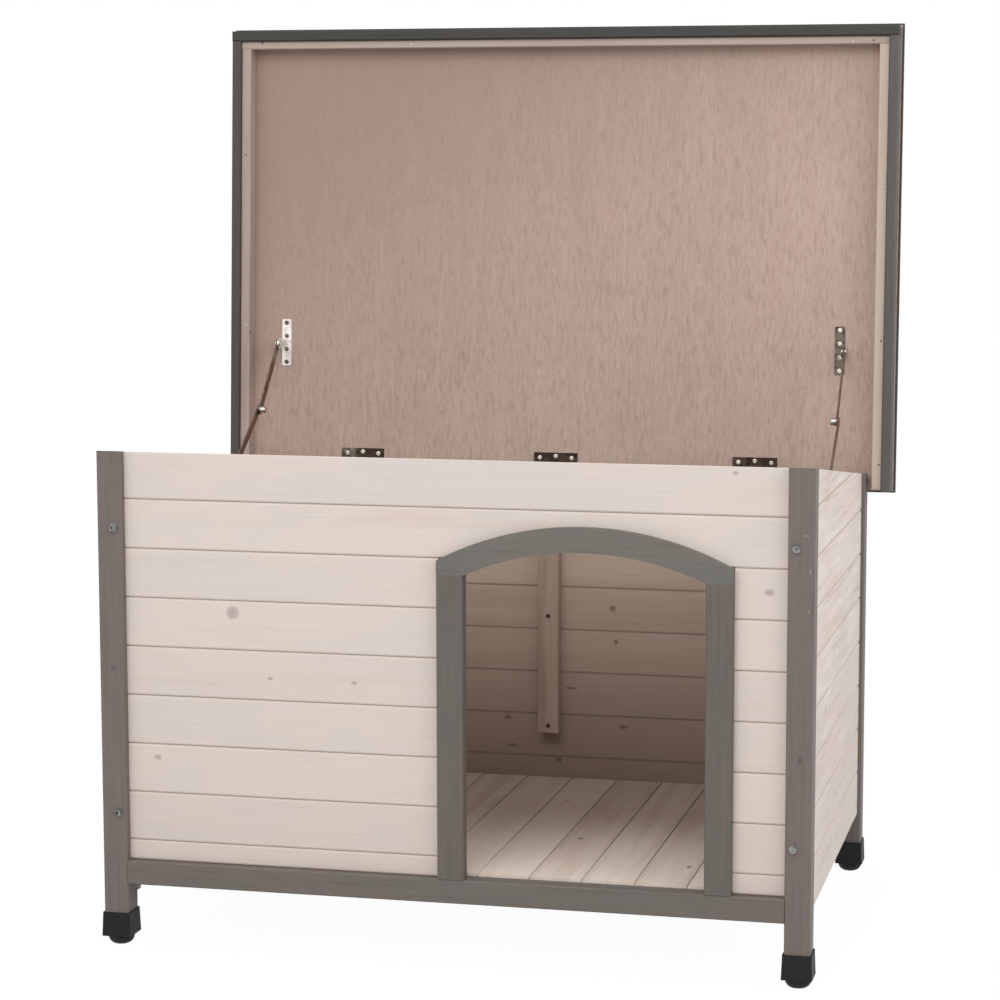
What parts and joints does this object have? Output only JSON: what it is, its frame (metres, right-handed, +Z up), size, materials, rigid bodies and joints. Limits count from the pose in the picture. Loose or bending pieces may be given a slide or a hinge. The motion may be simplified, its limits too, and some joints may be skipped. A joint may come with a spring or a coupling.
{
  "type": "dog house",
  "caption": "Wooden dog house with an off-centre arched doorway, a hinged flat roof held open by folding stays, and screw-in feet.",
  "frame": {"origin": "middle of the footprint's box with the lid open, on the ground", "axes": "+Z up, door facing -Y, +X to the right of someone looking at the door"},
  "size_m": [1.0392, 0.6798, 1.2655],
  "materials": {
    "cream_boards": "white-washed softwood boards, matt",
    "grey_wood": "grey glazed softwood, matt",
    "pale_wood": "untreated softwood",
    "plywood": "untreated plywood",
    "felt": "mineral roofing felt",
    "black_plastic": "moulded plastic",
    "zinc": "zinc plated",
    "dark_steel": "dark bronzed"
  },
  "bodies": {
    "house": {"front_left_post": "grey_wood", "front_right_post": "grey_wood", "back_left_post": "grey_wood", "back_right_post": "grey_wood", "foot_caps": "black_plastic", "front_top_board": "cream_boards", "front_arch_board": "cream_boards", "front_left_boards": "cream_boards", "front_right_boards": "cream_boards", "door_left_upright": "grey_wood", "door_right_upright": "grey_wood", "door_arch": "grey_wood", "front_base_rail": "grey_wood", "front_inner_battens": "pale_wood", "left_side_boards": "cream_boards", "left_side_battens": "pale_wood", "right_side_boards": "cream_boards", "right_side_battens": "pale_wood", "back_boards": "cream_boards", "back_base_rail": "grey_wood", "back_top_rail": "grey_wood", "back_centre_batten": "pale_wood", "back_end_battens": "pale_wood", "floor_boards": "pale_wood", "floor_bearers": "pale_wood", "post_bolts": "zinc", "bolt_washers": "zinc", "barrel_nuts": "zinc", "hinge_wall_leaves": "dark_steel", "hinge_pins": "zinc", "hinge_wall_screws": "zinc", "stay_wall_plates": "zinc", "stay_wall_rivets": "zinc", "stay_wall_screws": "zinc", "batten_screws": "zinc"},
    "lid": {"lid_panel": "plywood", "roofing_felt": "felt", "lid_front_trim": "grey_wood", "lid_front_strip": "pale_wood", "lid_left_trim": "grey_wood", "lid_left_strip": "pale_wood", "lid_right_trim": "grey_wood", "lid_right_strip": "pale_wood", "hinge_lid_leaves": "dark_steel", "hinge_lid_screws": "zinc", "stay_lid_brackets": "zinc", "stay_lid_rivets": "zinc", "stay_lid_screws": "zinc"},
    "left_upper_link": {"left_upper_link": "zinc", "left_knee_rivet": "zinc"},
    "left_lower_link": {"left_lower_link": "zinc"},
    "right_upper_link": {"right_upper_link": "zinc", "right_knee_rivet": "zinc"},
    "right_lower_link": {"right_lower_link": "zinc"},
    "front_left_foot": {"front_left_foot_pad": "black_plastic"},
    "front_right_foot": {"front_right_foot_pad": "black_plastic"},
    "back_left_foot": {"back_left_foot_pad": "black_plastic"},
    "back_right_foot": {"back_right_foot_pad": "black_plastic"}
  },
  "joints": [
    {"name": "lid_hinge", "type": "hinge", "parent": "house", "child": "lid", "pos_m": [0, 0.29108, 0.60263], "axis": [1, 0, 0], "range_deg": [0, 86.8]},
    {"name": "left_stay_wall_pivot", "type": "hinge", "parent": "house", "child": "left_lower_link", "pos_m": [-0.445, 0.03948, 0.56694], "axis": [1, 0, 0], "range_deg": [-31.8, 0]},
    {"name": "left_stay_lid_pivot", "type": "hinge", "parent": "lid", "child": "left_upper_link", "pos_m": [-0.442, 0.28633, 0.78112], "axis": [1, 0, 0], "range_deg": [0, 33.6]},
    {"name": "right_stay_wall_pivot", "type": "hinge", "parent": "house", "child": "right_lower_link", "pos_m": [0.445, 0.03948, 0.56694], "axis": [1, 0, 0], "range_deg": [-31.8, 0]},
    {"name": "right_stay_lid_pivot", "type": "hinge", "parent": "lid", "child": "right_upper_link", "pos_m": [0.442, 0.28633, 0.78112], "axis": [1, 0, 0], "range_deg": [0, 33.6]},
    {"name": "front_left_foot_screw", "type": "slide", "parent": "house", "child": "front_left_foot", "axis": [0, 0, -1], "range_m": [0, 0.01]},
    {"name": "front_right_foot_screw", "type": "slide", "parent": "house", "child": "front_right_foot", "axis": [0, 0, -1], "range_m": [0, 0.01]},
    {"name": "back_left_foot_screw", "type": "slide", "parent": "house", "child": "back_left_foot", "axis": [0, 0, -1], "range_m": [0, 0.01]},
    {"name": "back_right_foot_screw", "type": "slide", "parent": "house", "child": "back_right_foot", "axis": [0, 0, -1], "range_m": [0, 0.01]}
  ],
  "couplings": [
    {"joint": "left_stay_wall_pivot", "follows": "lid_hinge", "ratio": -0.3625},
    {"joint": "left_stay_lid_pivot", "follows": "lid_hinge", "ratio": 0.38382},
    {"joint": "right_stay_wall_pivot", "follows": "lid_hinge", "ratio": -0.3625},
    {"joint": "right_stay_lid_pivot", "follows": "lid_hinge", "ratio": 0.38382}
  ]
}
